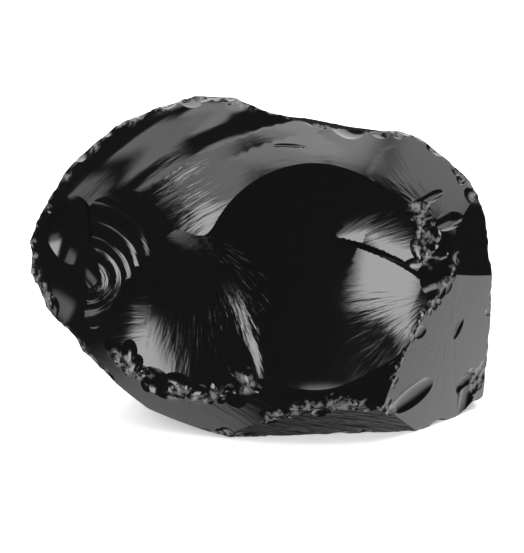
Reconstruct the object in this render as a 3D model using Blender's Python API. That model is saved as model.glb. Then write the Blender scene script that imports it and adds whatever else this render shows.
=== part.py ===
"""Obsidian chunk: a hand-sized lump of black volcanic glass, broken all over.

The lump is one solid. Every face of it is the scar of a flake that was struck off: a ball-shaped
hollow, a gently domed face or a flat one. Each scar is laid through three named corners, so two
neighbours that share corners also share the ridge between them. Seen from a point inside the lump,
the stone reaches out to the nearest scar in every direction, and that distance is the whole shape.
A scar can carry ripples, rings about the point where the blow landed.

Modelled in metres, +X to the viewer's right, +Y away from the viewer, +Z up, standing on its foot.
The origin is the middle of the bottom of its box. Lengths in the tables are in millimetres.
"""

import bmesh
import bpy
import numpy as np

MM = 0.001
NODE = "Obsidian_Chunk"

# ---- driving dimensions, mm
CORE = np.array([6.0, 17.0, 31.0])  # the inside point that sees every scar
PLAIN_EDGE = 4.4  # longest mesh edge on plain faces
CHIP_EDGE = 1.5  # longest mesh edge about a small chip
BROAD_RING_EDGE = 2.6  # longest mesh edge across wide ripples
RING_EDGE = 1.4  # longest mesh edge across ripples
SEAM = 0.8  # how softly the scars of one face run into each other
SNAP = 0.3  # a mesh corner this near to a ridge, as a share of its edge, moves onto the ridge

# ---- corners, mm: where ridges meet, and points that a scar passes through
CORNERS = {
    # ridges of the viewer's side
    "rim_left": (-12.0, -20.5, 43.5),
    "rim_top": (8.5, -13.5, 60.5),
    "rim_high": (19.0, -13.0, 59.0),
    "rim_right": (38.5, -19.0, 38.0),
    "saddle": (-11.5, -20.0, 44.5),
    "toe_left": (-34.5, -13.5, 19.5),
    "toe_mid": (-4.5, -25.0, 14.0),
    "crush_left": (-33.5, -12.5, 15.5),
    "crush_mid": (-3.5, -25.5, 13.5),
    "crush_low": (0.0, -25.5, 10.5),
    "crush_east": (15.0, -26.0, 9.5),
    "chin_point": (2.0, -27.4, 9.2),
    "crush_end": (30.0, -22.5, 5.5),
    "cheek_high": (37.5, -19.2, 33.2),
    "cheek_east": (50.4, -3.6, 30.8),
    "cheek_low": (29.0, -23.0, 13.5),
    "brow_left": (-19.5, -16.6, 42.2),
    "temple": (-43.0, -4.6, 41.6),
    "jowl": (-36.3, -11.8, 26.0),
    "ear_in": (-44.5, -2.0, 42.5),
    "ear_low": (-45.5, -4.0, 27.5),
    # the outline as the viewer sees it, clockwise from the left
    "west": (-51.3, 1.0, 41.5),
    "west_high": (-49.2, 2.5, 43.3),
    "north_west": (-41.6, 3.5, 56.5),
    "shoulder": (-31.7, 2.5, 65.3),
    "summit": (-13.5, -0.5, 72.8),
    "summit_right": (-6.5, -1.5, 72.3),
    "dip_left": (0.0, -4.5, 70.5),
    "dip_right": (26.0, -4.0, 65.5),
    "north_east": (35.0, -1.0, 63.0),
    "crown_east": (47.0, -3.0, 50.5),
    "east_high": (46.4, -2.7, 53.5),
    "east": (50.5, -1.5, 40.5),
    "east_mid": (50.7, -3.0, 29.5),
    "east_low": (50.7, 0.0, 9.5),
    "south_east": (49.8, 1.5, 2.5),
    "heel_right": (42.5, -11.0, -0.5),
    "foot_right": (41.5, -11.5, -0.5),
    "foot_mid": (6.5, -16.0, 0.0),
    "foot_front": (0.0, -20.5, 0.0),
    "south": (-12.0, -16.8, 1.4),
    "south_west": (-24.5, -12.0, 5.0),
    "west_low": (-35.0, -8.5, 13.0),
    "keel": (-41.8, -6.0, 17.0),
    "keel_high": (-49.0, -1.0, 28.0),
    "west_tip": (-51.3, 1.0, 31.5),
    # the far side
    "back_west": (-38.0, 26.0, 30.0),
    "back_a": (-32.0, 28.0, 36.0),
    "back_b": (-24.0, 30.0, 47.0),
    "back_c": (-12.0, 30.0, 57.0),
    "back_top": (8.0, 32.0, 58.0),
    "dip_back": (14.0, 24.0, 62.5),
    "back_d": (36.0, 28.0, 44.0),
    "back_east": (40.0, 28.0, 34.0),
    "back_e": (44.0, 28.0, 20.0),
    "back_left": (-20.0, 36.0, 42.0),
    "back_right": (28.0, 36.0, 46.0),
    "back_mid": (5.0, 40.0, 16.0),
    "heel_a": (42.0, 24.0, 0.0),
    "heel_b": (34.0, 26.0, 0.0),
    "heel_c": (-14.0, 24.0, 0.0),
    "heel_d": (-24.0, 26.0, 7.0),
    "heel_e": (-32.0, 27.0, 18.0),
    # the plane it stands on
    "floor_a": (0.0, 0.0, 0.0),
    "floor_b": (10.0, 0.0, 0.0),
    "floor_c": (0.0, 10.0, 0.0),
}

# ---- scars through three corners: face it belongs to, form, radius of the form in mm, corners
SCARS = (
    ("bowl", "hollow", 58, "rim_left", "rim_top", "rim_right"),
    ("bowl", "hollow", 46, "saddle", "toe_left", "toe_mid"),
    ("crown", "dome", 80, "saddle", "rim_high", "shoulder"),
    ("crown", "dome", 85, "rim_high", "dip_left", "crown_east"),
    ("east_flat", "flat", 0, "rim_right", "east_high", "east"),
    ("cheek", "dome", 500, "cheek_east", "cheek_high", "cheek_low"),
    ("chin_left", "dome", 110, "crush_left", "crush_mid", "foot_front"),
    ("chin_right", "flat", 0, "chin_point", "foot_mid", "foot_right"),
    ("ring_scar", "hollow", 50, "temple", "brow_left", "jowl"),
    ("ear", "hollow", 30, "west", "ear_in", "ear_low"),
    ("back_1", "dome", 90, "west_high", "north_west", "back_a"),
    ("back_2", "dome", 90, "north_west", "shoulder", "back_b"),
    ("back_3", "dome", 110, "shoulder", "summit", "back_c"),
    ("back_4", "dome", 150, "summit_right", "north_east", "back_top"),
    ("dip", "hollow", 60, "dip_left", "dip_right", "dip_back"),
    ("back_5", "dome", 130, "north_east", "east_high", "back_d"),
    ("back_6", "dome", 150, "east_high", "east", "back_east"),
    ("back_7", "dome", 300, "east_mid", "east_low", "back_e"),
    ("back_8", "dome", 120, "back_left", "back_right", "back_mid"),
    ("heel_1", "flat", 0, "south_east", "heel_right", "heel_a"),
    ("heel_2", "dome", 80, "heel_c", "heel_b", "back_mid"),
    ("heel_3", "dome", 150, "south_west", "south", "heel_c"),
    ("heel_4", "dome", 150, "west_low", "south_west", "heel_d"),
    ("heel_5", "dome", 150, "keel", "keel_high", "heel_e"),
    ("back_9", "dome", 150, "west_tip", "west", "back_west"),
    ("foot", "flat", 0, "floor_a", "floor_b", "floor_c"),
)

# ---- bites, taken in this order: a ball laid into the surface at the place the aim points to
# face, aim in mm, radius of the ball, depth of the bite
BITES = (
    ("spall_1", (-13.5, 35.0, 50.5), 50.0, 8.0),
    ("spall_2", (22.5, 37.5, 42.5), 50.0, 8.0),
    ("spall_3", (-24.0, 31.0, 24.5), 42.0, 6.0),
    ("spall_4", (43.0, 24.5, 34.0), 44.0, 4.0),
    ("spall_5", (-27.0, 19.5, 59.0), 36.0, 3.6),
    ("spall_6", (8.0, 41.0, 18.0), 36.0, 5.0),
    ("spall_7", (2.0, 26.0, 62.5), 40.0, 3.2),
    ("spall_8", (28.0, 24.0, 57.5), 34.0, 3.2),
    ("spall_9", (-40.0, 14.0, 36.0), 30.0, 2.0),
    ("horn_1", (37.5, -10.5, 52.0), 11.0, 0.9),
    ("horn_2", (40.3, -11.5, 47.0), 8.0, 1.2),
    ("horn_3", (36.5, -14.5, 47.0), 6.0, 0.8),
    ("pit", (43.0, -10.0, 22.5), 3.0, 0.8),
    ("cheek_hollow", (34.5, -15.5, 8.0), 10.0, 0.9),
    ("corner_chip", (47.5, -2.0, 5.5), 5.0, 1.2),
    ("glint", (-44.8, -2.6, 38.0), 8.0, 0.8),
    ("jaw_chip", (-43.0, -5.0, 21.0), 6.0, 1.2),
)

# ---- runs of small chips along a ridge: corners it follows, number of chips, smallest and largest
# ball, mm, and how deep each bites, as a share of its ball
CHIP_RUNS = (
    ("crush", ("crush_left", "toe_mid", "crush_low", "crush_east", "crush_end"), 16, 2.2, 3.6, 0.34),
    ("jaw", ("ear_low", "keel", "crush_left"), 7, 2.4, 3.8, 0.30),
    ("peak", ("north_west", "shoulder", "summit", "summit_right"), 7, 3.0, 5.0, 0.16),
)
CHIP_SEED = 7

# ---- ripples: face, place of the blow in mm, way the rings spread, half the angle of their fan in
# degrees, height, wavelength, first and last ring in mm
RIPPLES = (
    ("crown", (21.6, -10.0, -7.3), (-0.56, 0.0, 0.83), 38, 0.30, 9.2, 66.0, 104.0),
    ("ring_scar", (-37.6, -7.0, 33.0), (1.0, 0.0, 0.0), 180, 0.12, 3.2, 3.4, 26.0),
    ("spall_1", (-8.0, 34.0, 66.0), (0.0, 0.0, -1.0), 80, 0.14, 5.2, 8.0, 60.0),
    ("spall_2", (12.0, 33.0, 62.0), (0.0, 0.0, -1.0), 80, 0.14, 5.6, 8.0, 60.0),
    ("spall_5", (-22.0, 12.0, 70.0), (0.0, 0.0, -1.0), 80, 0.10, 4.2, 6.0, 50.0),
    ("spall_6", (4.0, 40.0, 4.0), (0.0, 0.0, 1.0), 80, 0.10, 4.6, 6.0, 50.0),
)


def unit(vectors):
    """These vectors, each one millimetre long."""
    return vectors / np.linalg.norm(vectors, axis=-1, keepdims=True)


class Scar:
    """A ball or plane that bounds the lump, and how far it lies from the core in any direction."""

    def __init__(self, face, form, radius, centre, normal):
        self.face, self.form, self.radius = face, form, radius
        self.centre, self.normal = centre, normal

    def reach(self, rays):
        """Distance from the core to this scar along each ray; infinite where the ray misses it."""
        if self.form == "flat":
            facing = rays @ self.normal
            gap = self.normal @ (self.centre - CORE)
            return np.where(facing > 1e-9, gap / np.maximum(facing, 1e-9), np.inf)
        offset = CORE - self.centre
        along = rays @ offset
        inside = along**2 - (offset @ offset - self.radius**2)
        root = np.sqrt(np.maximum(inside, 0.0))
        if self.form == "dome":
            return root - along
        return np.where((inside > 0) & (-along - root > 0), -along - root, np.inf)


def scar_through(face, form, radius, *names):
    """The scar whose plane or ball passes through three corners, on the outer side of the core."""
    a, b, c = (np.array(CORNERS[name]) for name in names)
    normal = unit(np.cross(b - a, c - a))
    if normal @ (a - CORE) < 0:
        normal = -normal
    if form == "flat":
        return Scar(face, form, radius, a, normal)
    ab, ac = b - a, c - a
    lengths = np.array([ab @ ab, ac @ ac])
    grid = np.array([[ab @ ab, ab @ ac], [ab @ ac, ac @ ac]])
    u, v = np.linalg.solve(grid, lengths / 2)
    middle = a + u * ab + v * ac
    height = np.sqrt(radius**2 - (middle - a) @ (middle - a))
    side = -1 if form == "dome" else 1
    return Scar(face, form, radius, middle + side * height * normal, normal)


def bite_into(scars, face, aim, radius, depth):
    """A ball that bites into the surface below the aim, set square to the slope there."""
    ray = unit(np.array(aim) - CORE)
    across = unit(np.cross(ray, (0.0, 0.0, 1.0)))
    up = np.cross(across, ray)
    spread = 0.5 * np.sqrt(2 * radius * depth) / 40.0
    turns = np.linspace(0, 2 * np.pi, 8, endpoint=False)[:, None]
    rays = unit(ray + spread * (np.cos(turns) * across + np.sin(turns) * up))
    reach = np.min([scar.reach(rays) for scar in scars], axis=0)
    ring = CORE + rays * reach[:, None]
    middle = ring.mean(axis=0)
    normal = np.linalg.svd(ring - middle)[2][2]
    normal = normal if normal @ ray > 0 else -normal
    return Scar(face, "hollow", radius, middle + normal * (radius - depth), -normal)


def nearest_ridge(scars, aim, search=5.0):
    """The place near the aim at which the two nearest faces come closest to each other."""
    ray = unit(aim - CORE)
    across = unit(np.cross(ray, (0.0, 0.0, 1.0)))
    up = np.cross(across, ray)
    steps = np.linspace(-search, search, 21)
    side, rise = (grid.ravel()[:, None] for grid in np.meshgrid(steps, steps))
    rays = unit(aim - CORE + side * across + rise * up)
    reach = np.sort([scar.reach(rays) for scar in scars], axis=0)
    cost = reach[1] - reach[0] + 0.15 * np.hypot(side, rise).ravel()
    best = cost.argmin()
    return CORE + rays[best] * reach[0][best]


def chips_along(scars):
    """Small bites strewn along the ridges that get knocked, each into the surface as it was."""
    dice = np.random.RandomState(CHIP_SEED)
    chips = []
    for run, names, count, smallest, largest, share in CHIP_RUNS:
        stops = np.array([CORNERS[name] for name in names])
        for number in range(count):
            place = (number + dice.uniform(0.1, 0.9)) / count * (len(stops) - 1)
            leg = min(int(place), len(stops) - 2)
            aim = stops[leg] + (stops[leg + 1] - stops[leg]) * (place - leg)
            aim = nearest_ridge(scars, aim) + dice.uniform(-0.8, 0.8, 3)
            radius = dice.uniform(smallest, largest)
            depth = radius * share * dice.uniform(0.6, 1.2)
            chips.append(bite_into(scars, f"{run}_{number}", aim, radius, depth))
    return chips


def ripple(points, blow, way, fan, height, wavelength, first, last):
    """Height of the rings at these points, fading in after the first ring and out by the last."""
    arm = points - np.array(blow)
    distance = np.linalg.norm(arm, axis=-1)
    turn = np.degrees(np.arccos(np.clip(arm @ unit(np.array(way)) / distance, -1, 1)))
    fade = np.clip((distance - first) / wavelength, 0, 1) * np.clip((last - distance) / 6, 0, 1)
    fade = fade * np.clip((fan - turn) / 12, 0, 1)
    return height * np.cos(2 * np.pi * (distance - first) / wavelength) * fade


def soft_min(a, b, softness):
    """The smaller of two distances, rounded off where they cross."""
    with np.errstate(invalid="ignore"):
        blend = np.maximum(softness - np.abs(a - b), 0.0)
    blend = np.where(np.isfinite(blend), blend, 0.0)
    return np.minimum(a, b) - blend**2 / (4 * softness)


class Lump:
    """All the scars together: the distance to every face in any direction."""

    def __init__(self):
        self.scars = [scar_through(*row) for row in SCARS]
        for row in BITES:
            self.scars.append(bite_into(self.scars, *row))
        self.chips = chips_along(self.scars)
        self.scars += self.chips
        self.faces = list(dict.fromkeys(scar.face for scar in self.scars))
        self.rings = {row[0]: row[1:] for row in RIPPLES}

    def reaches(self, rays):
        """One row for each ray and one column for each face."""
        columns = []
        for face in self.faces:
            members = [scar.reach(rays) for scar in self.scars if scar.face == face]
            reach = members[0]
            for other in members[1:]:
                reach = soft_min(reach, other, SEAM)
            if face in self.rings:
                points = CORE + rays * np.where(np.isfinite(reach), reach, 0.0)[:, None]
                reach = reach + ripple(points, *self.rings[face])
            columns.append(reach)
        return np.stack(columns, axis=1)

    def edge_wanted(self, points, face):
        """Longest mesh edge allowed at these points of these faces."""
        wanted = np.full(len(points), PLAIN_EDGE)
        for name, rings in self.rings.items():
            rung = (face == self.faces.index(name)) & (np.abs(ripple(points, *rings)) > 0)
            wanted = np.where(rung, RING_EDGE if rings[4] < 4 else BROAD_RING_EDGE, wanted)
        for scar in self.scars:
            if scar.form == "hollow" and scar.radius < 15:
                near = np.linalg.norm(points - scar.centre, axis=-1) < scar.radius + 1.0
                wanted = np.where(near, np.minimum(wanted, max(CHIP_EDGE, scar.radius / 5)), wanted)
        return wanted


def rays_of(mesh):
    return unit(np.array([vertex.co for vertex in mesh.verts]))


def edges_of(mesh):
    mesh.verts.index_update()
    mesh.edges.ensure_lookup_table()
    return np.array([[vertex.index for vertex in edge.verts] for edge in mesh.edges])


def refine(mesh, lump):
    """Halves the edges that are longer than their face allows, until none is."""
    for _ in range(5):
        rays, pairs = rays_of(mesh), edges_of(mesh)
        reaches = lump.reaches(rays)
        points = CORE + rays * reaches.min(axis=1)[:, None]
        length = np.linalg.norm(points[pairs[:, 0]] - points[pairs[:, 1]], axis=1)
        wanted = lump.edge_wanted(points, reaches.argmin(axis=1))
        long = np.nonzero(length > 1.25 * wanted[pairs].min(axis=1))[0]
        if not len(long):
            return
        bmesh.ops.subdivide_edges(mesh, edges=[mesh.edges[i] for i in long], cuts=1)
        bmesh.ops.triangulate(mesh, faces=[face for face in mesh.faces if len(face.verts) > 3])
        for vertex in mesh.verts:
            vertex.co.normalize()


def ridge_shares(lump, start, end, face):
    """Share of the way from start to end at which the start's face ends, by halving."""
    low, high = np.zeros(len(start)), np.ones(len(start))
    for _ in range(14):
        middle = (low + high) / 2
        rays = unit(start + (end - start) * middle[:, None])
        over = lump.reaches(rays).argmin(axis=1) != face
        low, high = np.where(over, low, middle), np.where(over, middle, high)
    return (low + high) / 2


def snap_to_ridges(mesh, lump):
    """Moves the corners nearest to a ridge onto it. Returns the faces that meet at each corner."""
    rays, pairs = rays_of(mesh), edges_of(mesh)
    label = lump.reaches(rays).argmin(axis=1)
    meets = [{int(face)} for face in label]
    crossing = pairs[label[pairs[:, 0]] != label[pairs[:, 1]]]
    near = np.concatenate([crossing, crossing[:, ::-1]])
    share = ridge_shares(lump, rays[near[:, 0]], rays[near[:, 1]], label[near[:, 0]])
    moved = {}
    for (vertex, other), part in sorted(zip(near.tolist(), share), key=lambda item: item[1]):
        if part < SNAP and vertex not in moved and other not in moved:
            moved[vertex] = unit(rays[vertex] + (rays[other] - rays[vertex]) * part)
            meets[vertex] = {int(label[vertex]), int(label[other])}
    mesh.verts.ensure_lookup_table()
    for vertex, ray in moved.items():
        mesh.verts[vertex].co = ray
    return meets


def split_at_ridges(mesh, lump, meets):
    """Cuts every edge that still crosses a ridge, at the ridge, and joins the cuts of each face."""
    rays, pairs = rays_of(mesh), edges_of(mesh)
    label = lump.reaches(rays).argmin(axis=1)
    across = np.array([not meets[a] & meets[b] for a, b in pairs.tolist()])
    edges = [mesh.edges[i] for i in np.nonzero(across)[0]]
    crossing = np.array([(a, b) if len(meets[a]) == 1 else (b, a) for a, b in pairs[across].tolist()])
    share = ridge_shares(lump, rays[crossing[:, 0]], rays[crossing[:, 1]], label[crossing[:, 0]])
    mesh.verts.ensure_lookup_table()
    starts = [mesh.verts[start] for start in crossing[:, 0].tolist()]
    cuts = []
    for edge, start, part in zip(edges, starts, share):
        cuts.append(bmesh.utils.edge_split(edge, start, float(np.clip(part, 0.02, 0.98)))[1])
    bmesh.ops.connect_verts(mesh, verts=cuts)
    bmesh.ops.triangulate(mesh, faces=[face for face in mesh.faces if len(face.verts) > 3])


def carve(mesh, lump):
    """Takes every corner of the mesh out to the surface, and stands the lump on its origin."""
    rays = rays_of(mesh)
    points = CORE + rays * lump.reaches(rays).min(axis=1)[:, None]
    low, high = points.min(axis=0), points.max(axis=0)
    points -= [(low[0] + high[0]) / 2, (low[1] + high[1]) / 2, low[2]]
    for vertex, point in zip(mesh.verts, points):
        vertex.co = point * MM


def obsidian():
    """Black glass: dark, hard and smooth."""
    material = bpy.data.materials.new("Obsidian glass")
    material.use_nodes = True
    shader = material.node_tree.nodes["Principled BSDF"]
    shader.inputs["Base Color"].default_value = (0.006, 0.006, 0.007, 1.0)
    shader.inputs["Roughness"].default_value = 0.08
    shader.inputs["Metallic"].default_value = 0.0
    shader.inputs["IOR"].default_value = 1.5
    return material


def build_chunk():
    lump = Lump()
    mesh = bmesh.new()
    bmesh.ops.create_icosphere(mesh, subdivisions=4, radius=1.0)
    refine(mesh, lump)
    meets = snap_to_ridges(mesh, lump)
    split_at_ridges(mesh, lump, meets)
    carve(mesh, lump)
    bmesh.ops.recalc_face_normals(mesh, faces=mesh.faces)
    data = bpy.data.meshes.new(NODE)
    mesh.to_mesh(data)
    mesh.free()
    data.shade_smooth()
    data.set_sharp_from_angle(angle=0.35)
    data.materials.append(obsidian())
    chunk = bpy.data.objects.new(NODE, data)
    bpy.context.scene.collection.objects.link(chunk)
    return chunk


def main():
    for old in list(bpy.data.objects):
        bpy.data.objects.remove(old, do_unlink=True)
    build_chunk()


main()
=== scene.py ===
"""Obsidian chunk: the fine surface and finish of a lump of black volcanic glass.

The lump is a set of flake scars: balls and planes laid through named corners. Seen from a point
inside, the stone reaches out to the nearest scar in every direction. This file works that surface
out on a grid fine enough for ripples, hackle and the crushed edges, gives it the finish of broken
glass, and sets it on a pale floor under soft studio light. Sizes in the tables are millimetres.
"""

import bpy
import numpy as np
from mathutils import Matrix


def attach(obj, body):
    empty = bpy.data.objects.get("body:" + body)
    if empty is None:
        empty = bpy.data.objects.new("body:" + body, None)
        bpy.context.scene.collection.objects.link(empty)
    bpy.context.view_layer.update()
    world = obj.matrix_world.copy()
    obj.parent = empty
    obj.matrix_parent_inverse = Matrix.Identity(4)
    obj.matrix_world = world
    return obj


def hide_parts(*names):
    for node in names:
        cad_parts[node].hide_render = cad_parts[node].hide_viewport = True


bl_info = {
    "name": "Obsidian Chunk",
    "version": (1, 0, 0),
    "blender": (4, 5, 0),
    "location": "3D Viewport > Sidebar > Obsidian",
    "description": "Builds the broken surface of a lump of black volcanic glass, and its studio",
    "category": "Add Mesh",
}

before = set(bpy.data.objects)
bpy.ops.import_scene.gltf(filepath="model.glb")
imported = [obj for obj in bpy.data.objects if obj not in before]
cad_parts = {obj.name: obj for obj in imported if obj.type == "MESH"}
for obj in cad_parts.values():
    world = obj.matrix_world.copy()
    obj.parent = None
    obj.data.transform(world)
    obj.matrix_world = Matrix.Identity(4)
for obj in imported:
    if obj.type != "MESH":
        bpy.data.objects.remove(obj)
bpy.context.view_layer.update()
NODE = "Obsidian_Chunk"
MM = 0.001

# ------------------------------------------------------------------------------- the lump's sizes

CORE = np.array([6.0, 17.0, 31.0])  # the inside point that sees every scar
SEAM = 0.8  # how softly the scars of one face run into each other
SNAP = 0.25  # a mesh corner this near to a ridge, as a share of its edge, moves onto the ridge
AIM = (0.33, -16.0, 34.3)  # the place the camera looks at
FAR_OUT = 57.0  # about how far the stone reaches from the inside point, mm
CELLS = 40  # cells along each side of the first grid of directions
VIEW_TILT = np.radians(15.0)  # how far the viewer looks down on the lump

# ---- corners, mm: where ridges meet, and points that a scar passes through
CORNERS = {
    # ridges of the viewer's side
    "rim_left": (-12.0, -20.5, 43.5),
    "rim_top": (8.5, -13.5, 60.5),
    "rim_high": (19.0, -13.0, 59.0),
    "rim_right": (38.5, -19.0, 38.0),
    "saddle": (-11.5, -20.0, 44.5),
    "toe_left": (-34.5, -13.5, 19.5),
    "toe_mid": (-4.5, -25.0, 14.0),
    "crush_left": (-33.5, -12.5, 15.5),
    "crush_mid": (-3.5, -25.5, 13.5),
    "crush_low": (0.0, -25.5, 10.5),
    "crush_east": (15.0, -26.0, 9.5),
    "chin_point": (2.0, -27.4, 9.2),
    "crush_end": (30.0, -22.5, 5.5),
    "cheek_high": (37.5, -19.2, 33.2),
    "cheek_east": (50.4, -3.6, 30.8),
    "cheek_low": (29.0, -23.0, 13.5),
    "splinter_high": (33.5, -14.0, 52.0),
    "splinter_low": (40.5, -17.5, 33.0),
    "nodule_left": (15.0, -25.5, 10.6),
    "nodule_right": (20.0, -25.5, 10.0),
    "brow_left": (-19.5, -16.6, 42.2),
    "temple": (-43.0, -4.6, 41.6),
    "jowl": (-36.3, -11.8, 26.0),
    "ear_in": (-44.5, -2.0, 42.5),
    "ear_low": (-45.5, -4.0, 27.5),
    # the outline as the viewer sees it, clockwise from the left
    "west": (-51.3, 1.0, 41.5),
    "west_high": (-49.2, 2.5, 43.3),
    "north_west": (-41.6, 3.5, 56.5),
    "shoulder": (-31.7, 2.5, 65.3),
    "summit": (-13.5, -0.5, 72.8),
    "summit_right": (-6.5, -1.5, 72.3),
    "dip_left": (0.0, -4.5, 70.5),
    "dip_right": (26.0, -4.0, 65.5),
    "north_east": (35.0, -1.0, 63.0),
    "crown_east": (47.0, -3.0, 50.5),
    "east_high": (46.4, -2.7, 53.5),
    "east": (50.5, -1.5, 40.5),
    "east_mid": (50.7, -3.0, 29.5),
    "east_low": (50.7, 0.0, 9.5),
    "south_east": (49.8, 1.5, 2.5),
    "heel_right": (42.5, -11.0, -0.5),
    "foot_right": (41.5, -11.5, -0.5),
    "foot_mid": (6.5, -16.0, 0.0),
    "foot_front": (0.0, -20.5, 0.0),
    "south": (-12.0, -16.8, 1.4),
    "south_west": (-24.5, -12.0, 5.0),
    "west_low": (-35.0, -8.5, 13.0),
    "keel": (-41.8, -6.0, 17.0),
    "keel_high": (-49.0, -1.0, 28.0),
    "west_tip": (-51.3, 1.0, 31.5),
    # the far side
    "back_west": (-38.0, 26.0, 30.0),
    "back_a": (-32.0, 28.0, 36.0),
    "back_b": (-24.0, 30.0, 47.0),
    "back_c": (-12.0, 30.0, 57.0),
    "back_top": (8.0, 32.0, 58.0),
    "dip_back": (14.0, 24.0, 62.5),
    "back_d": (36.0, 28.0, 44.0),
    "back_east": (40.0, 28.0, 34.0),
    "back_e": (44.0, 28.0, 20.0),
    "back_left": (-20.0, 36.0, 42.0),
    "back_right": (28.0, 36.0, 46.0),
    "back_mid": (5.0, 40.0, 16.0),
    "heel_a": (42.0, 24.0, 0.0),
    "heel_b": (34.0, 26.0, 0.0),
    "heel_c": (-14.0, 24.0, 0.0),
    "heel_d": (-24.0, 26.0, 7.0),
    "heel_e": (-32.0, 27.0, 18.0),
    # the plane it stands on
    "floor_a": (0.0, 0.0, 0.0),
    "floor_b": (10.0, 0.0, 0.0),
    "floor_c": (0.0, 10.0, 0.0),
}

# ---- scars through three corners: face it belongs to, form, radius of the form in mm, corners, and
# how softly it runs into the face's other scars, if not by SEAM
SCARS = (
    ("bowl", "hollow", 58, "rim_left", "rim_top", "rim_right"),
    ("bowl", "hollow", 46, "saddle", "toe_left", "toe_mid", 4.0),
    ("crown", "dome", 80, "saddle", "rim_high", "shoulder"),
    ("crown", "dome", 85, "rim_high", "dip_left", "crown_east"),
    ("east_flat", "flat", 0, "rim_right", "east_high", "east"),
    ("cheek", "dome", 500, "cheek_east", "cheek_high", "cheek_low"),
    ("chin_left", "dome", 110, "crush_left", "crush_mid", "foot_front"),
    ("chin_right", "flat", 0, "chin_point", "foot_mid", "foot_right"),
    ("ring_scar", "hollow", 50, "temple", "brow_left", "jowl"),
    ("ear", "hollow", 30, "west", "ear_in", "ear_low"),
    ("back_1", "dome", 90, "west_high", "north_west", "back_a"),
    ("back_2", "dome", 90, "north_west", "shoulder", "back_b"),
    ("back_3", "dome", 110, "shoulder", "summit", "back_c"),
    ("back_4", "dome", 150, "summit_right", "north_east", "back_top"),
    ("dip", "hollow", 60, "dip_left", "dip_right", "dip_back"),
    ("back_5", "dome", 130, "north_east", "east_high", "back_d"),
    ("back_6", "dome", 150, "east_high", "east", "back_east"),
    ("back_7", "dome", 300, "east_mid", "east_low", "back_e"),
    ("back_8", "dome", 120, "back_left", "back_right", "back_mid"),
    ("heel_1", "flat", 0, "south_east", "heel_right", "heel_a"),
    ("heel_2", "dome", 80, "heel_c", "heel_b", "back_mid"),
    ("heel_3", "dome", 150, "south_west", "south", "heel_c"),
    ("heel_4", "dome", 150, "west_low", "south_west", "heel_d"),
    ("heel_5", "dome", 150, "keel", "keel_high", "heel_e"),
    ("back_9", "dome", 150, "west_tip", "west", "back_west"),
    ("foot", "flat", 0, "floor_a", "floor_b", "floor_c"),
)

# ---- bites, taken in this order, each laid into the surface at the place the aim points to: face,
# aim in mm, half its width, its depth, how many times as long as wide, heading in degrees from
# level, and the way it faces if not square to the surface (turn and rise in degrees)
BITES = (
    ("spall_1", (-13.5, 35.0, 50.5), 27.0, 8.0),
    ("spall_2", (22.5, 37.5, 42.5), 27.0, 8.0),
    ("spall_3", (-24.0, 31.0, 24.5), 21.5, 6.0),
    ("spall_4", (43.0, 24.5, 34.0), 18.4, 4.0),
    ("spall_5", (-27.0, 19.5, 59.0), 15.7, 3.6),
    ("spall_6", (8.0, 41.0, 18.0), 18.3, 5.0),
    ("spall_7", (2.0, 26.0, 62.5), 15.7, 3.2),
    ("spall_8", (28.0, 24.0, 57.5), 14.4, 3.2),
    ("spall_9", (-40.0, 14.0, 36.0), 10.8, 2.0),
    ("temple", (-39.5, -6.0, 39.0), 3.0, 0.5, 1.6, -40),
    ("glint", (-45.8, -2.2, 38.0), 3.2, 0.5, 1.5, 76, (-13, 19)),
    ("horn_1", (37.1, -11.0, 52.5), 1.2, 0.45, 4.0, 8),
    ("horn_2", (40.3, -11.5, 47.0), 2.0, 0.8, 2.4, 2),
    ("horn_3", (36.5, -14.5, 47.0), 1.1, 0.35, 2.4, 60),
    ("pit", (43.0, -10.0, 22.5), 1.2, 0.5, 2.2, 66),
    ("cheek_hollow", (34.5, -15.5, 8.0), 2.2, 0.4, 2.2, 14, (38, 8)),
    ("corner_chip", (47.5, -2.0, 5.5), 2.2, 0.7, 1.6, 50),
    ("groove", (6.4, -10.0, 62.5), 0.6, 0.2, 11.0, -2),
    ("jaw_chip", (-43.0, -5.0, 21.0), 3.2, 0.8, 1.5, -50),
)

# ---- runs of small chips along a ridge: corners it follows, number of chips, smallest and largest
# half width, mm, and how deep each bites, as a share of that
CHIP_RUNS = (
    ("crush", ("crush_left", "toe_mid", "crush_low", "crush_east", "crush_end"), 12, 0.5, 0.8, 0.11),
    ("jaw", ("ear_low", "keel", "crush_left"), 8, 0.8, 1.2, 0.11),
    ("peak", ("north_west", "shoulder", "summit", "summit_right"), 6, 0.8, 1.4, 0.12),
)
CHIP_SEED = 7

# ---- ripples: face, place of the blow in mm, way the rings spread, half the angle of their fan in
# degrees, height, how far out each crest lies, over what length the rings fade in and out, all in
# mm, and how far the rings stray from true circles
RIPPLES = (
    ("crown", (21.6, -10.0, -7.3), (-0.56, 0.0, 0.83), 38, 0.36, (76.7, 86.0, 94.5), 2.5),
    (
        "ring_scar", (-37.6, -7.0, 33.0), (1.0, 0.0, 0.0), 180, 0.20,
        (3.4, 6.4, 9.0, 12.4, 15.6, 19.6), 2.0, 0.45,
    ),
    ("spall_1", (-8.0, 34.0, 66.0), (0.0, 0.0, -1.0), 80, 0.14, (8, 13, 18.5, 24, 29, 34.5, 40), 5.0),
    ("spall_2", (12.0, 33.0, 62.0), (0.0, 0.0, -1.0), 80, 0.14, (8, 14, 19.5, 25, 31, 37, 42), 5.0),
    ("spall_5", (-22.0, 12.0, 70.0), (0.0, 0.0, -1.0), 80, 0.10, (6, 10, 14.5, 18.5, 23, 27), 4.0),
    ("spall_6", (4.0, 40.0, 4.0), (0.0, 0.0, 1.0), 80, 0.10, (6, 10.5, 15, 19.8, 24.5, 29), 4.0),
)

# ------------------------------------------------------------------------------------ fine chips

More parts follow.
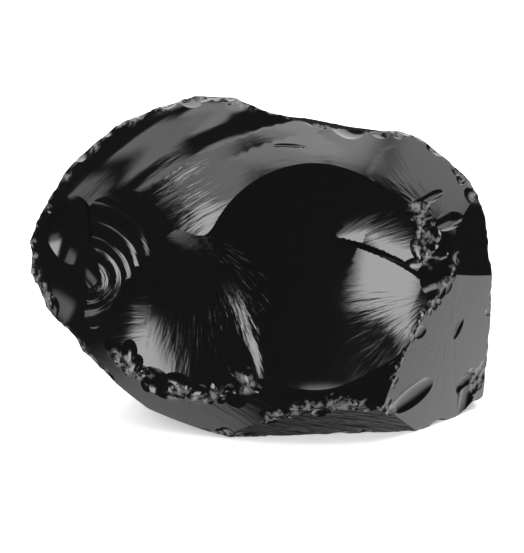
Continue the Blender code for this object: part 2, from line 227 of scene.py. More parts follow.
# ---- runs of fine chips: corners they follow, how many, smallest and largest half width in mm, how
# deep each bites as a share of that, and how far they stray from the ridge
FINE_RUNS = (
    ("crush_fine", ("crush_left", "toe_mid", "crush_low", "crush_east"), 170, 0.3, 1.0, 0.11, 1.2),
    ("crush_tail", ("crush_east", "crush_end"), 30, 0.3, 0.8, 0.11, 0.9),
    ("jaw_fine", ("ear_low", "keel_high", "keel", "crush_left"), 70, 0.4, 1.4, 0.12, 1.3),
    ("ear_fine", ("west", "west_tip", "keel_high"), 36, 0.5, 1.4, 0.15, 1.0),
    ("peak_fine", ("west_high", "north_west", "shoulder", "summit", "dip_left"), 70, 0.4, 1.1, 0.13, 0.7),
    ("dip_fine", ("dip_left", "dip_right", "north_east", "east_high"), 36, 0.4, 1.0, 0.12, 0.5),
    ("rim_fine", ("splinter_high", "splinter_low"), 84, 0.3, 1.0, 0.13, 1.2),
    ("nodule", ("nodule_left", "nodule_right"), 26, 0.5, 0.9, 0.3, 1.0),
    ("corner_fine", ("east_low", "south_east"), 26, 0.4, 1.1, 0.15, 1.2),
    ("cheek_fine", ("splinter_low", "cheek_low"), 34, 0.3, 0.8, 0.12, 0.7),
    ("east_fine", ("east_high", "east", "east_low", "south_east"), 34, 0.4, 1.0, 0.12, 0.6),
    ("foot_fine", ("south", "foot_front", "heel_right"), 30, 0.4, 1.0, 0.12, 0.5),
)
FINE_SEED = 11


def unit(vectors):
    """These vectors, each of length one."""
    return vectors / np.linalg.norm(vectors, axis=-1, keepdims=True)


def towards(turn, rise):
    """The direction so many degrees to the right of the viewer, and so many above level."""
    turn, rise = np.radians(turn), np.radians(rise)
    return np.array([np.sin(turn) * np.cos(rise), -np.cos(turn) * np.cos(rise), np.sin(rise)])


class Scar:
    """A ball or plane that bounds the lump, and how far it lies from the core in any direction.

    A ball may be stretched along its grain, into an egg so many times as long as it is wide.
    """

    def __init__(self, face, form, radius, centre, normal, seam=SEAM, stretch=1.0, grain=(1.0, 0.0, 0.0)):
        self.face, self.form, self.radius, self.seam = face, form, radius, seam
        self.centre, self.normal = centre, normal
        self.stretch, self.grain = stretch, np.array(grain)
        self.far = np.linalg.norm(centre - CORE)
        self.ray = (centre - CORE) / self.far
        self.cone = np.sqrt(1 - min(1.0, radius * stretch / self.far) ** 2)
        self.low, self.rim = centre, radius

    def squeezed(self, vectors):
        """These vectors in the space where the egg is a ball."""
        return vectors - (1 - 1 / self.stretch) * (vectors @ self.grain)[..., None] * self.grain

    def reach(self, rays):
        """Distance from the core to this scar along each ray; infinite where the ray misses it."""
        if self.form == "flat":
            facing = rays @ self.normal
            gap = self.normal @ (self.centre - CORE)
            return np.where(facing > 1e-9, gap / np.maximum(facing, 1e-9), np.inf)
        rays, offset = self.squeezed(rays), self.squeezed(CORE - self.centre)
        size, along = (rays**2).sum(axis=-1), rays @ offset
        inside = along**2 - size * (offset @ offset - self.radius**2)
        root = np.sqrt(np.maximum(inside, 0.0))
        if self.form == "dome":
            return (root - along) / size
        return np.where((inside > 0) & (-along - root > 0), (-along - root) / size, np.inf)


def scar_through(face, form, radius, first, second, third, seam=SEAM):
    """The scar whose plane or ball passes through three corners, on the outer side of the core."""
    a, b, c = (np.array(CORNERS[name]) for name in (first, second, third))
    normal = unit(np.cross(b - a, c - a))
    if normal @ (a - CORE) < 0:
        normal = -normal
    if form == "flat":
        return Scar(face, form, radius, a, normal, seam)
    ab, ac = b - a, c - a
    lengths = np.array([ab @ ab, ac @ ac])
    grid = np.array([[ab @ ab, ab @ ac], [ab @ ac, ac @ ac]])
    u, v = np.linalg.solve(grid, lengths / 2)
    middle = a + u * ab + v * ac
    height = np.sqrt(radius**2 - (middle - a) @ (middle - a))
    side = -1 if form == "dome" else 1
    return Scar(face, form, radius, middle + side * height * normal, normal, seam)


def bite_into(scars, face, aim, rim, depth, stretch=1.0, heading=0.0, facing=None, lean=(0.0, 0.0)):
    """A shallow bite into the surface below the aim, set square to the slope there.

    It is an egg: its rim is so wide across, and stretched along a heading, which is in degrees
    from level on the viewer's side.
    """
    ray = unit(np.array(aim) - CORE)
    across = unit(np.cross((0.0, 0.0, 1.0), ray))
    up = np.cross(ray, across)
    turns = np.linspace(0, 2 * np.pi, 8, endpoint=False)[:, None]
    rays = unit(ray + rim / FAR_OUT * (np.cos(turns) * across + np.sin(turns) * up))
    reach = np.min([scar.reach(rays) for scar in scars], axis=0)
    ring = CORE + rays * reach[:, None]
    middle = ring.mean(axis=0)
    normal = np.linalg.svd(ring - middle)[2][2]
    normal = normal if normal @ ray > 0 else -normal
    normal = unit(normal + lean[0] * across + lean[1] * up) if facing is None else towards(*facing)
    grain = np.cos(np.radians(heading)) * across + np.sin(np.radians(heading)) * up
    grain = unit(grain - (grain @ normal) * normal)
    radius = (rim**2 + depth**2) / (2 * depth)
    bite = Scar(face, "hollow", radius, middle + normal * (radius - depth), -normal, SEAM, stretch, grain)
    bite.low, bite.rim = middle, rim
    return bite


def nearest_ridge(scars, aim, search=5.0):
    """The place near the aim at which the two nearest faces come closest to each other."""
    ray = unit(aim - CORE)
    across = unit(np.cross(ray, (0.0, 0.0, 1.0)))
    up = np.cross(across, ray)
    steps = np.linspace(-search, search, 21)
    side, rise = (grid.ravel()[:, None] for grid in np.meshgrid(steps, steps))
    rays = unit(aim - CORE + side * across + rise * up)
    reach = np.sort([scar.reach(rays) for scar in scars], axis=0)
    cost = reach[1] - reach[0] + 0.15 * np.hypot(side, rise).ravel()
    best = cost.argmin()
    return CORE + rays[best] * reach[0][best]


def chips_along(scars):
    """Small bites strewn along the ridges that get knocked, each into the surface as it was."""
    dice = np.random.RandomState(CHIP_SEED)
    chips = []
    for run, names, count, smallest, largest, share in CHIP_RUNS:
        stops = np.array([CORNERS[name] for name in names])
        for number in range(count):
            place = (number + dice.uniform(0.1, 0.9)) / count * (len(stops) - 1)
            leg = min(int(place), len(stops) - 2)
            aim = stops[leg] + (stops[leg + 1] - stops[leg]) * (place - leg)
            aim = nearest_ridge(scars, aim) + dice.uniform(-0.8, 0.8, 3)
            rim, turn = dice.uniform(smallest, largest), dice.uniform(0, 180)
            depth, stretch = rim * share * dice.uniform(0.6, 1.4), dice.uniform(1.0, 1.8)
            chips.append(bite_into(scars, f"{run}_{number}", aim, rim, depth, stretch, turn))
    return chips


def ripple(points, blow, way, fan, height, crests, fade, wobble=0.0):
    """Height of the rings at these points: a wave whose crests lie at given distances from the blow.

    It fades in before the first crest and out after the last, and towards the sides of its fan.
    """
    arm = points - np.array(blow)
    distance = np.linalg.norm(arm, axis=-1)
    turn = np.degrees(np.arccos(np.clip(arm @ unit(np.array(way)) / distance, -1, 1)))
    side = points @ np.cross(unit(np.array(way)), (0.0, 1.0, 0.0)) / 4.0
    distance = distance + wobble * (np.sin(side + 0.3 * distance) + np.sin(1.7 * side - 0.5 * distance))
    phase = np.interp(distance, crests, np.arange(len(crests)))
    window = np.clip((distance - crests[0] + fade) / fade, 0, 1)
    window = window * np.clip((crests[-1] + fade - distance) / fade, 0, 1)
    return height * np.cos(2 * np.pi * phase) * window * np.clip((fan - turn) / 12, 0, 1)


def soft_min(a, b, softness):
    """The smaller of two distances, rounded off where they cross."""
    with np.errstate(invalid="ignore"):
        blend = np.maximum(softness - np.abs(a - b), 0.0)
    blend = np.where(np.isfinite(blend), blend, 0.0)
    return np.minimum(a, b) - blend**2 / (4 * softness)


def fine_chips_along(scars, chips):
    """Fine bites strewn about the knocked ridges, each into the surface that the coarse chips left."""
    dice = np.random.RandomState(FINE_SEED)
    fine = []
    for run, names, count, smallest, largest, share, stray in FINE_RUNS:
        stops = np.array([CORNERS[name] for name in names])
        for number in range(count):
            place = (number + dice.uniform(0, 1)) / count * (len(stops) - 1)
            leg = min(int(place), len(stops) - 2)
            aim = stops[leg] + (stops[leg + 1] - stops[leg]) * (place - leg)
            aim = nearest_ridge(scars, aim) + dice.normal(0, 0.6, 3) * stray
            rim = smallest + (largest - smallest) * dice.uniform(0, 1) ** 3
            depth = rim * share * dice.uniform(0.5, 1.5)
            stretch, turn = dice.uniform(1.0, 1.8), dice.uniform(0, 180)
            lean = dice.normal(0, 0.25, 2)
            name = f"{run}_{number}"
            fine.append(bite_into(scars + chips, name, aim, rim, depth, stretch, turn, None, lean))
    return fine


# --------------------------------------------------------------------------------- mesh and relief

RINGS = {row[0]: row[1:] for row in RIPPLES}
BACK_FROM = 12.0  # where the far side begins
BACK_EDGE = 2.2  # longest mesh edge on the far side
PLAIN_EDGE = 1.3  # longest mesh edge on plain faces
CHIP_EDGE = 0.27  # longest mesh edge on the smallest chips
LIP_EDGE = 0.4  # longest mesh edge on a lip
LIP_REACH = 3.0  # how far from a lip the mesh is that fine
CRUSH_REACH = 1.6  # how far from a chip's middle the glass is crushed, in half widths of the chip
LEAST_CRUSH, MOST_CRUSH = 0.3, 2.0  # half widths: a chip counts as at least the first, mm, and one
# over the second crushes nothing
SHORT_STEP = 3e-4  # a step between directions that is short against every detail, in radians

# ---- lips: face, the two ends of the lip in mm, its height, how far it fades out above, the drop
# below it, and its width
LIPS = (
    ("bowl", (19.5, -12.0, 42.5), (37.0, -18.5, 35.0), 0.9, 4.5, 0.6, 0.9),
)


def lip(points, start, end, height, fade, drop, width):
    """A rolled lip between two places: a slow rise towards it from above, and a quick drop below."""
    start, end = np.array(start), np.array(end)
    along = end - start
    share = (points - start) @ along / (along @ along)
    above = unit(np.cross(along, (0.2, -1.0, 0.3)))
    above = above * np.sign(above[2])
    gap = (points - start) @ above - 1.2 * share * (1 - share) * 4
    window = np.clip(share / 0.25 + 0.6, 0, 1) * np.clip((1 - share) / 0.2 + 0.6, 0, 1)
    rise = height * np.exp(-np.maximum(gap, 0) / fade)
    fall = (height + drop) * np.clip(-gap / width, 0, 1) ** 0.7
    sink = drop * np.exp(np.minimum(gap + width, 0) / 6.0)
    return np.where(gap > 0, rise, height - fall + np.where(gap < -width, drop - sink, 0)) * window


# ---- swells: face, middle in mm, way it rises, how many degrees it leans the face, reach in mm
SWELLS = (
    ("bowl", (-25.0, -13.0, 27.5), (0.0, 0.0, -1.0), 14.0, 9.5),
    ("bowl", (11.0, -25.0, 15.0), (0.0, 0.0, -1.0), -12.0, 9.0),
    ("bowl", (28.0, -22.5, 18.5), (-1.0, 0.0, 0.0), 14.0, 6.0),
    ("bowl", (-21.0, -15.5, 41.5), (0.0, 0.0, -1.0), 12.0, 5.0),
    ("bowl", (-30.5, -14.0, 22.5), (-1.0, 0.0, 0.0), 10.0, 5.0),
    ("ring_scar", (-31.0, -10.0, 46.5), (0.0, 0.0, -1.0), 13.0, 5.5),
)


def swell(points, middle, way, lean, reach):
    """A soft S-shaped swell, which rises along its way and dies off away from its middle.

    Its height is the distance along the way, times a bell curve of the distance from the middle.
    """
    arm = points - np.array(middle)
    share = np.exp(-(arm**2).sum(axis=-1) / (2 * reach**2))
    return np.tan(np.radians(lean)) * (arm @ unit(np.array(way))) * share


def relief(face, points):
    """What a face carries on top of its scars: rings about the blow, rolled lips and swells."""
    height = ripple(points, *RINGS[face]) if face in RINGS else np.zeros(len(points))
    for owner, *row in LIPS:
        if owner == face:
            height = height + lip(points, *row)
    for owner, *row in SWELLS:
        if owner == face:
            height = height + swell(points, *row)
    return height


# ---- hackle: fine streaks that break the light up. Face, place of the blow in mm, whether the streaks
# run out from the blow (0) or round it (1), middle of the patch that carries them, its reach in mm,
# and how strong they are
HACKLES = (
    ("crown", (21.6, -10.0, -7.3), 1, (-18.0, -14.0, 54.0), 9.0, 1.0),
    ("crown", (21.6, -10.0, -7.3), 1, (-33.0, -6.0, 50.0), 9.0, 0.7),
    ("crown", (38.0, -10.0, 48.0), 0, (31.5, -10.0, 54.0), 4.2, 1.8),
    ("crown", (10.0, -10.0, 20.0), 1, (12.0, -12.0, 63.0), 12.0, 0.25),
    ("bowl", (-13.0, -20.0, 46.0), 0, (-6.0, -19.0, 30.0), 9.0, 3.5),
    ("bowl", (39.0, -18.0, 33.5), 0, (24.5, -19.0, 28.5), 8.0, 0.8),
    ("bowl", (8.0, -15.0, 38.0), 0, (31.0, -12.0, 49.0), 8.0, 0.6),
    ("bowl", (12.0, -15.0, 28.0), 0, (-31.5, -13.5, 26.0), 4.6, 1.0),
    ("ring_scar", (-37.6, -7.0, 33.0), 1, (-32.0, -9.0, 37.0), 12.0, 1.0),
    ("cheek", (41.0, -12.0, 24.0), 0, (39.0, -14.0, 16.0), 11.0, 0.5),
    ("chin_left", (-60.0, -10.0, 40.0), 0, (-12.0, -21.0, 8.0), 16.0, 0.35),
    ("chin_right", (-40.0, -10.0, 20.0), 0, (14.0, -20.0, 5.0), 14.0, 1.2),
)


def hackle_at(lump, points, label):
    """Where each place lies across the streaks and along them, in mm, and how strong they are.

    Across is the turn about the blow for streaks that run out from it, and the distance from it
    for those that run round; along is the other of the two. The strongest patch has its way, by as
    much as it is stronger than the next.
    """
    found = np.zeros((len(points), 3))
    second = np.zeros(len(points))
    for face, blow, round_it, middle, reach, strength in HACKLES:
        arm = points - np.array(blow)
        east, north = (np.array(middle) - np.array(blow))[[0, 2]]
        distance = np.hypot(arm[:, 0], arm[:, 2])
        turn = np.arctan2(arm[:, 0] * north - arm[:, 2] * east, arm[:, 0] * east + arm[:, 2] * north)
        turn *= np.hypot(east, north)
        share = strength * np.exp(-((points - np.array(middle)) ** 2).sum(axis=1) / (2 * reach**2))
        share *= label == lump.names.index(face)
        pair = (distance, turn) if round_it else (turn, distance)
        wins = share > found[:, 2]
        second = np.maximum(second, np.minimum(share, found[:, 2]))
        found[wins] = np.stack([*pair, share], axis=1)[wins]
    found[:, 2] = found[:, 2] - second
    return found


class Lump:
    """All the scars together: the nearest face in any direction, and the surface of each face."""

    def __init__(self):
        scars = [scar_through(*row) for row in SCARS]
        for row in BITES:
            scars.append(bite_into(scars, *row))
        broad = {}
        for scar in scars:
            broad.setdefault(scar.face, []).append(scar)
        chips = chips_along(scars)
        chips += fine_chips_along(scars, chips)
        self.members = list(broad.values()) + [[chip] for chip in chips]
        self.names = list(broad) + [chip.face for chip in chips]
        self.chips = chips
        self.first_chip = len(broad)

    def reach_of(self, number, rays):
        """Distance to one face: its scars joined softly, with its relief on top."""
        name, members = self.names[number], self.members[number]
        reach = members[0].reach(rays)
        for other in members[1:]:
            reach = soft_min(reach, other.reach(rays), other.seam)
        if number < self.first_chip:
            points = CORE + rays * np.where(np.isfinite(reach), reach, 0.0)[:, None]
            reach = reach + relief(name, points)
        return reach

    def nearest(self, rays):
        """The distance to the surface along each ray, and the number of the face that is there."""
        best, label = np.full(len(rays), np.inf), np.zeros(len(rays), int)
        for number in range(len(self.names)):
            rows = np.arange(len(rays))
            if number >= self.first_chip:
                chip = self.chips[number - self.first_chip]
                rows = np.nonzero(rays @ chip.ray > chip.cone)[0]
            reach = self.reach_of(number, rays[rows])
            closer = reach < best[rows]
            best[rows[closer]] = reach[closer]
            label[rows[closer]] = number
        return best, label

    def points_at(self, rays):
        return CORE + rays * self.nearest(rays)[0][:, None]

    def edge_wanted(self, rays, points, label):
        """Longest mesh edge allowed at these places: fine on rings and chips, coarse behind."""
        wanted = np.where(points[:, 1] > BACK_FROM, BACK_EDGE, PLAIN_EDGE)
        for name, rings in RINGS.items():
            rung = (label == self.names.index(name)) & (np.abs(ripple(points, *rings)) > 0)
            wanted[rung] = np.minimum(wanted[rung], np.diff(rings[4]).min() / 6)
        for face, start, end, *_ in LIPS:
            along, arm = np.array(end) - np.array(start), points - np.array(start)
            share = np.clip(arm @ along / (along @ along), 0, 1)[:, None]
            close = np.linalg.norm(arm - share * along, axis=1) < LIP_REACH
            wanted[close] = np.minimum(wanted[close], LIP_EDGE)
        for chip in self.chips:
            near = rays @ chip.ray > np.cos(np.arcsin(min(0.9, (chip.rim + 0.8) / chip.far)))
            wanted[near] = np.minimum(wanted[near], max(CHIP_EDGE, chip.rim / 4))
        return wanted


def direction_grid(cells):
    """Directions over a whole ball, and the triangles between them.

    Each side of a cube carries a grid of two parameters, which run evenly in angle: the direction
    is the unit vector of (1, tan of the first, tan of the second), turned to that side. The
    corners that the six grids share are joined.
    """
    step = np.tan(np.linspace(-np.pi / 4, np.pi / 4, cells + 1))
    first, second = (grid.ravel() for grid in np.meshgrid(step, step, indexing="ij"))
    sheet = np.stack([np.ones(len(first)), first, second], axis=1)
    corner = np.arange((cells + 1) ** 2).reshape(cells + 1, cells + 1)
    a, b, c, d = corner[:-1, :-1], corner[1:, :-1], corner[1:, 1:], corner[:-1, 1:]
    quads = np.stack([a, b, c, d], axis=-1).reshape(-1, 4)
    rays, faces = [], []
    for turn in range(3):
        for side in (1, -1):
            rays.append(unit(np.roll(sheet * (side, 1, 1), turn, axis=1)))
            faces.append((quads if side > 0 else quads[:, ::-1]) + len(sheet) * (len(rays) - 1))
    rays, quads = np.concatenate(rays), np.concatenate(faces)
    _, kept, joined = np.unique(np.round(rays, 7) + 0.0, axis=0, return_index=True, return_inverse=True)
    quads = joined.ravel()[quads]
    return rays[kept], np.concatenate([quads[:, :3], quads[:, [0, 2, 3]]])


def edge_table(tris, count):
    """Every edge once, as its two corners, and the numbers of the three edges of each triangle."""
    ends = np.sort(np.stack([tris, np.roll(tris, -1, axis=1)], axis=2).reshape(-1, 2), axis=1)
    _, first, sides = np.unique(ends[:, 0] * count + ends[:, 1], return_index=True, return_inverse=True)
    return ends[first], sides.reshape(-1, 3)


def cut_triangles(tris, sides, cuts):
    """Cuts triangles at new corners on their edges: one cut makes two, two make three, three four.

    cuts gives the number of the new corner on each edge, or -1. Every triangle is first turned so
    that its cut sides come first and its uncut ones last.
    """
    middle = cuts[sides]
    hit = middle >= 0
    amount = hit.sum(axis=1)
    turn = np.where(amount == 1, hit.argmax(axis=1), (hit.argmin(axis=1) + 1) % 3)
    turn = np.where((amount == 1) | (amount == 2), turn, 0)
    order = (turn[:, None] + np.arange(3)) % 3
    a, b, c = np.take_along_axis(tris, order, axis=1).T
    m, k, j = np.take_along_axis(middle, order, axis=1).T
    patterns = {
        0: ((a, b, c),),
        1: ((a, m, c), (m, b, c)),
        2: ((a, m, c), (m, b, k), (m, k, c)),
        3: ((a, m, j), (m, b, k), (j, k, c), (m, k, j)),
    }
    made = [
        np.stack([corner[amount == number] for corner in triangle], axis=1)
        for number, pattern in patterns.items()
        for triangle in pattern
    ]
    return np.concatenate(made)


def refine(lump, rays, tris):
    """Halves the edges that are longer than their place allows, until none is."""
    for _ in range(7):
        reach, label = lump.nearest(rays)
        points = CORE + rays * reach[:, None]
        edges, sides = edge_table(tris, len(rays))
        length = np.linalg.norm(points[edges[:, 0]] - points[edges[:, 1]], axis=1)
        long = length > 1.3 * lump.edge_wanted(rays, points, label)[edges].min(axis=1)
        if not long.any():
            break
        cuts = np.where(long, len(rays) + np.cumsum(long) - 1, -1)
        rays = np.concatenate([rays, unit(rays[edges[long, 0]] + rays[edges[long, 1]])])
        tris = cut_triangles(tris, sides, cuts)
    return rays, tris


def ridge_shares(lump, start, end, face):
    """Share of the way from start to end at which the start's face ends, by halving."""
    low, high = np.zeros(len(start)), np.ones(len(start))
    for _ in range(12):
        middle = (low + high) / 2
        over = lump.nearest(unit(start + (end - start) * middle[:, None]))[1] != face
        low, high = np.where(over, low, middle), np.where(over, middle, high)
    return (low + high) / 2


def lay_on_ridges(lump, rays, tris):
    """Moves the corners nearest to a ridge onto it, and cuts the edges that still cross one."""
    label = lump.nearest(rays)[1]
    edges, _ = edge_table(tris, len(rays))
    crossing = edges[label[edges[:, 0]] != label[edges[:, 1]]]
    crossing = np.concatenate([crossing, crossing[:, ::-1]])
    start, end = crossing.T
    share = ridge_shares(lump, rays[start], rays[end], label[start])
    order = np.argsort(share)
    start, end, share = start[order], end[order], share[order]
    corner, first = np.unique(start, return_index=True)
    near = share[first] < SNAP
    corner, first = corner[near], first[near]
    beside = label.copy()
    beside[corner] = label[end[first]]
    moved = rays.copy()
    moved[corner] = unit(rays[corner] + (rays[end[first]] - rays[corner]) * share[first][:, None])
    rays = moved

    edges, sides = edge_table(tris, len(rays))
    one, two = edges.T
    meet = (label[one] == label[two]) | (beside[one] == label[two])
    meet |= (label[one] == beside[two]) | (beside[one] == beside[two])
    swap = beside[one] != label[one]
    one, two = np.where(swap, two, one)[~meet], np.where(swap, one, two)[~meet]
    share = ridge_shares(lump, rays[one], rays[two], label[one])
    share = np.clip(share, 0.03, 0.97)[:, None]
    cuts = np.where(~meet, len(rays) + np.cumsum(~meet) - 1, -1)
    tris = cut_triangles(tris, sides, cuts)
    return np.concatenate([rays, unit(rays[one] + (rays[two] - rays[one]) * share)]), tris


def corner_slopes(lump, rays, face):
    """The true slope of each corner's own face: the cross product of two short steps along it."""
    across = unit(np.cross(rays, (0.3, 0.2, 0.93)))
    up = np.cross(across, rays)
    steps = (rays, unit(rays + SHORT_STEP * across), unit(rays + SHORT_STEP * up))
    slopes = np.zeros_like(rays)
    order = np.argsort(face, kind="stable")
    ends = np.searchsorted(face[order], np.arange(len(lump.names) + 1))
    for number in range(len(lump.names)):
        rows = order[ends[number]:ends[number + 1]]
        if len(rows):
            here, aside, above = (
                ray[rows] * lump.reach_of(number, ray[rows])[:, None] for ray in steps
            )
            slopes[rows] = np.cross(aside - here, above - here)
    return slopes


class Socket:
    """One output of a shader node, that numbers and other outputs can be worked with."""

    def __init__(self, finish, output):
        self.finish, self.output = finish, output

    def worked(self, operation, *others):
        sockets = dict(enumerate((self,) + others))
        return self.finish.node("ShaderNodeMath", {"operation": operation}, sockets)

    def __add__(self, other):
        return self.worked("ADD", other)

    def __mul__(self, other):
        return self.worked("MULTIPLY", other)

    def __sub__(self, other):
        return self.worked("SUBTRACT", other)

    def __rsub__(self, other):
        return self.worked("MULTIPLY", -1.0).worked("ADD", other)

    __radd__, __rmul__ = __add__, __mul__

    def between(self, low, high):
        """0 up to low, 1 from high on, and a smooth rise between them."""
        sockets = {"Value": self, "From Min": low, "From Max": high}
        settings = {"interpolation_type": "SMOOTHSTEP"}
        return self.finish.node("ShaderNodeMapRange", settings, sockets)


class Finish:
    """The shader of a material or of the air, and the one way that nodes are added to it."""

    def __init__(self, owner, shader):
        self.owner = owner
        owner.use_nodes = True
        self.nodes, self.links = owner.node_tree.nodes, owner.node_tree.links
        self.shader = self.nodes[shader]

    def node(self, kind, settings=None, sockets=None, output=0):
        """A new node: its settings first, then the values or links of its sockets."""
        node = self.nodes.new(kind)
        for name, value in (settings or {}).items():
            setattr(node, name, value)
        for name, value in (sockets or {}).items():
            self.feed(node.inputs[name], value)
        if output is None:
            return {made.name: Socket(self, made) for made in node.outputs}
        return Socket(self, node.outputs[output])

    def feed(self, socket, value):
        if isinstance(value, Socket):
            self.links.new(value.output, socket)
        else:
            socket.default_value = value


def black_glass(look):
    """Black volcanic glass: dark, hard and glossy, and paler and duller where it is crushed.

    The hackle is a pair of noises drawn out along the streaks, that push the surface in and out.
    """
    finish = Finish(bpy.data.materials.new("Obsidian glass"), "Principled BSDF")
    place = finish.node("ShaderNodeTexCoord", output="Object")
    crushed = finish.node("ShaderNodeAttribute", {"attribute_name": "crushed"}, output="Fac")
    grain = finish.node("ShaderNodeTexNoise", {}, {"Vector": place, "Scale": 800.0, "Detail": 3.0})
    dull = crushed * grain.between(0.40, 0.62)
    tint = finish.node(
        "ShaderNodeMix", {"data_type": "RGBA"},
        {0: dull * 0.85, 6: (*look.glass, 1.0), 7: (*look.crushed, 1.0)}, output=2,
    )
    haze = finish.node("ShaderNodeTexNoise", {}, {"Vector": place, "Scale": 60.0, "Detail": 4.0})
    streaks = finish.node("ShaderNodeAttribute", {"attribute_name": "streaks"}, output="Vector")
    apart = finish.node("ShaderNodeSeparateXYZ", {}, {0: streaks}, output=None)
    across, along, strong = apart["X"], apart["Y"], apart["Z"]
    height = 0.0
    for fine, long, depth in ((0.9, 0.09, 0.16), (2.6, 0.22, 0.05)):
        drawn = finish.node("ShaderNodeCombineXYZ", {}, {"X": across * fine, "Y": along * long})
        ridge = finish.node("ShaderNodeTexNoise", {}, {"Vector": drawn, "Scale": 1.0, "Detail": 2.0})
        height = ridge * depth + height
    height = height * strong
    pitted = finish.node("ShaderNodeTexNoise", {}, {"Vector": place, "Scale": 1100.0, "Detail": 3.0})
    height = height + pitted * crushed * 0.06
    bump = finish.node("ShaderNodeBump", {}, {"Height": height, "Distance": MM, "Strength": 1.0})
    finish.feed(finish.shader.inputs["Normal"], bump)
    finish.feed(finish.shader.inputs["Base Color"], tint)
    finish.feed(finish.shader.inputs["Roughness"], dull * 0.35 + haze * 0.06 + look.roughness)
    finish.shader.inputs["IOR"].default_value = 1.5
    finish.shader.inputs["Metallic"].default_value = 0.0
    return finish.owner


class ChunkLook(bpy.types.PropertyGroup):
    """Finish of the glass."""

    glass: bpy.props.FloatVectorProperty(
        name="Glass", description="Colour of the unbroken glass", subtype="COLOR", min=0.0, max=1.0,
        default=(0.003, 0.003, 0.0035))
    crushed: bpy.props.FloatVectorProperty(
        name="Crushed", description="Colour of the crushed glass", subtype="COLOR", min=0.0, max=1.0,
        default=(0.16, 0.16, 0.17))
    roughness: bpy.props.FloatProperty(
        name="Roughness", description="Roughness of a clean break", subtype="FACTOR", min=0.0, max=1.0,
        default=0.06)


class StudioSizes(bpy.types.PropertyGroup):
    """Camera and floor."""

    distance: bpy.props.FloatProperty(
        name="Camera distance", description="From the camera to the lump", unit="LENGTH", default=0.7)
    width: bpy.props.FloatProperty(
        name="Width seen", description="Width that the camera sees at the lump", unit="LENGTH",
        default=0.1139)
    elevation: bpy.props.FloatProperty(
        name="Camera elevation", description="How far the camera looks down", subtype="ANGLE",
        unit="ROTATION", default=VIEW_TILT)
    floor: bpy.props.FloatVectorProperty(
        name="Floor", description="Colour of the floor", subtype="COLOR", min=0.0, max=1.0,
        default=(0.85, 0.85, 0.85))


def linked(name, data):
    made = bpy.data.objects.new(name, data)
    bpy.context.scene.collection.objects.link(made)
    return made


def chunk_mesh():
    """The lump's surface: from the core, every direction reaches out to the nearest scar.

    A corner's place is the core plus its direction times that distance. The whole is then moved so
    that the middle of its box and its foot lie where those of the solid lie.
    """
    lump = Lump()
    rays, tris = direction_grid(CELLS)
    rays, tris = refine(lump, rays, tris)
    rays, tris = lay_on_ridges(lump, rays, tris)
    points = lump.points_at(rays)
    face = lump.nearest(unit(rays[tris].sum(axis=1)))[1]
    low, high = points.min(axis=0), points.max(axis=0)
    middle = np.array([(low[0] + high[0]) / 2, (low[1] + high[1]) / 2, low[2]])
    mesh = bpy.data.meshes.new("Chunk_Surface")
    mesh.from_pydata((points - middle) * MM, [], tris)
    corners = tris.ravel()
    slopes = corner_slopes(lump, rays[corners], np.repeat(face, 3))
    a, b, c = (points[tris[:, side]] for side in range(3))
    flat = np.repeat(np.cross(b - a, c - a), 3, axis=0)
    slopes = np.where(np.isfinite(slopes).all(axis=1)[:, None], slopes, flat)
    slopes *= np.sign((slopes * flat).sum(axis=1))[:, None]
    mesh.shade_smooth()
    mark = mesh.attributes.new("crushed", "FLOAT", "POINT")
    mark.data.foreach_set("value", crushed_at(lump, rays, points).astype(np.float32))
    streaks = mesh.attributes.new("streaks", "FLOAT_VECTOR", "CORNER")
    found = hackle_at(lump, points[corners], np.repeat(face, 3))
    streaks.data.foreach_set("vector", found.astype(np.float32).ravel())
    mesh.normals_split_custom_set(unit(slopes).tolist())
    return mesh


def crushed_at(lump, rays, points):
    """How crushed the glass is: 1 in the middle of a chip, falling to 0 some way past its rim."""
    amount = np.zeros(len(rays))
    for chip in lump.chips:
        gap = np.linalg.norm(points - chip.low, axis=1) / max(chip.rim, LEAST_CRUSH)
        amount = np.maximum(amount, np.clip(CRUSH_REACH - gap, 0, 1) * (chip.rim < MOST_CRUSH))
    return amount


class OBSIDIAN_OT_chunk(bpy.types.Operator):
    """Builds the broken surface of the lump"""

    bl_idname = "obsidian.chunk"
    bl_label = "Chunk"

    def execute(self, context):
        surface = linked("Chunk_Surface", chunk_mesh())
        surface.data.materials.append(black_glass(context.scene.chunk_look))
        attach(surface, "root")
        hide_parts(NODE)
        return {"FINISHED"}


# ---- soft lamps in the air about the lump, all in degrees but the last: turn from the viewer's side
# towards the right, rise above level, half the width, half the height, softness, radiance
LAMPS = (
    (-20, 25, 13, 15, 4, 9.0),
    (-16, 8, 10, 5, 4, 2.0),
    (-62, 47, 16, 9, 4, 2.7),
    (-30, 49, 9, 8, 4, 3.0),
    (-15, 61, 24, 7, 4, 3.8),
    (25, 69, 25, 8, 4, 5.0),
    (70, 66, 20, 9, 6, 4.0),
    (95, 42, 18, 13, 5, 2.4),
    (-76, 24, 14, 6, 4, 2.0),
    (115, -36, 30, 22, 10, 2.0),
    (-75, -56, 14, 12, 6, 1.7),
    (180, 45, 35, 20, 5, 4.0),
)
ROOM = 0.05  # radiance of the dark room between the lamps
FLOOR_SIDES, FLOOR_RADIUS = 96, 1.5  # the floor is a disc of so many sides, radius in metres


def pale_floor(colour):
    """Matt white paper, that glows a little so that shadows on it stay pale."""
    finish = Finish(bpy.data.materials.new("Studio floor"), "Principled BSDF")
    finish.feed(finish.shader.inputs["Base Color"], (*colour, 1.0))
    finish.shader.inputs["Roughness"].default_value = 0.9
    finish.shader.inputs["Specular IOR Level"].default_value = 0.0
    finish.feed(finish.shader.inputs["Emission Color"], (1.0, 1.0, 1.0, 1.0))
    finish.shader.inputs["Emission Strength"].default_value = 0.4
    return finish.owner


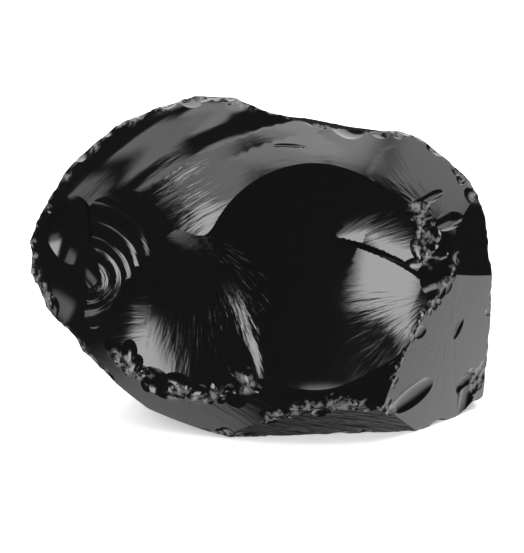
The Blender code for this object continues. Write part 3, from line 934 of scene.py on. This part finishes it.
def studio_air():
    """White air for the camera; for everything else a dark room with soft-edged lamps in it.

    A lamp is a patch of directions: the turn and the rise of a direction are each compared with
    those of the patch, and the light falls off smoothly over its softness at every edge.
    """
    air = Finish(bpy.data.worlds.new("Studio air"), "Background")
    way = air.node("ShaderNodeTexCoord", output="Generated")
    apart = air.node("ShaderNodeSeparateXYZ", {}, {0: way}, output=None)
    turn = apart["X"].worked("ARCTAN2", apart["Y"] * -1.0) * np.degrees(1)
    rise = apart["Z"].worked("ARCSINE") * np.degrees(1)
    steep = apart["Z"].worked("ARCSINE").worked("ABSOLUTE")
    narrow = steep.worked("MINIMUM", np.radians(60)).worked("COSINE")
    light = ROOM
    for aside, above, wide, tall, soft, radiance in LAMPS:
        off = (turn - aside).worked("WRAP", 180.0, -180.0).worked("ABSOLUTE") * narrow
        lift = (rise - above).worked("ABSOLUTE")
        beside = 1 - off.between(wide - soft, wide + soft)
        level = 1 - lift.between(tall - soft, tall + soft)
        light = (beside * level * radiance).worked("MAXIMUM", light)
    seen = air.node("ShaderNodeLightPath", output="Is Camera Ray")
    air.feed(air.shader.inputs["Strength"], light * (1 - seen) + seen)
    air.feed(air.shader.inputs["Color"], (1.0, 1.0, 1.0, 1.0))
    return air.owner


class OBSIDIAN_OT_studio(bpy.types.Operator):
    """Sets the floor, the lights and the camera"""

    bl_idname = "obsidian.studio"
    bl_label = "Studio"

    def execute(self, context):
        sizes = context.scene.studio_sizes
        turns = np.linspace(0, 2 * np.pi, FLOOR_SIDES, endpoint=False)
        ring = np.stack([np.cos(turns), np.sin(turns), 0 * turns], axis=1) * FLOOR_RADIUS
        disc = bpy.data.meshes.new("Studio_Floor")
        disc.from_pydata(ring, [], [list(range(FLOOR_SIDES))])
        floor = linked("Studio_Floor", disc)
        floor.data.materials.append(pale_floor(sizes.floor))
        floor.visible_glossy = False
        context.scene.world = studio_air()
        camera = bpy.data.cameras.new("Camera")
        camera.sensor_fit = "HORIZONTAL"
        camera.sensor_width = 36.0
        camera.lens = 36.0 * sizes.distance / sizes.width
        eye = linked("Camera", camera)
        back = np.array([0.0, -np.cos(sizes.elevation), np.sin(sizes.elevation)])
        eye.location = np.array(AIM) * MM + back * sizes.distance
        eye.rotation_euler = (np.pi / 2 - sizes.elevation, 0.0, 0.0)
        context.scene.camera = eye
        context.scene.view_settings.view_transform = "Standard"
        return {"FINISHED"}


class OBSIDIAN_PT_panel(bpy.types.Panel):
    """Shows the settings of the glass and of the studio, and the buttons that build the lump and the
    studio
    """

    bl_label = "Obsidian Chunk"
    bl_idname = "OBSIDIAN_PT_panel"
    bl_space_type = "VIEW_3D"
    bl_region_type = "UI"
    bl_category = "Obsidian"

    def draw(self, context):
        for owner in (context.scene.chunk_look, context.scene.studio_sizes):
            for name in owner.__annotations__:
                self.layout.prop(owner, name)
        self.layout.operator("obsidian.chunk")
        self.layout.operator("obsidian.studio")


CLASSES = (ChunkLook, StudioSizes, OBSIDIAN_OT_chunk, OBSIDIAN_OT_studio, OBSIDIAN_PT_panel)


def register():
    for made in CLASSES:
        bpy.utils.register_class(made)
    bpy.types.Scene.chunk_look = bpy.props.PointerProperty(type=ChunkLook)
    bpy.types.Scene.studio_sizes = bpy.props.PointerProperty(type=StudioSizes)


def unregister():
    del bpy.types.Scene.studio_sizes, bpy.types.Scene.chunk_look
    for made in reversed(CLASSES):
        bpy.utils.unregister_class(made)


def main():
    register()
    bpy.ops.obsidian.chunk()
    bpy.ops.obsidian.studio()


if __name__ == "__main__":
    main()
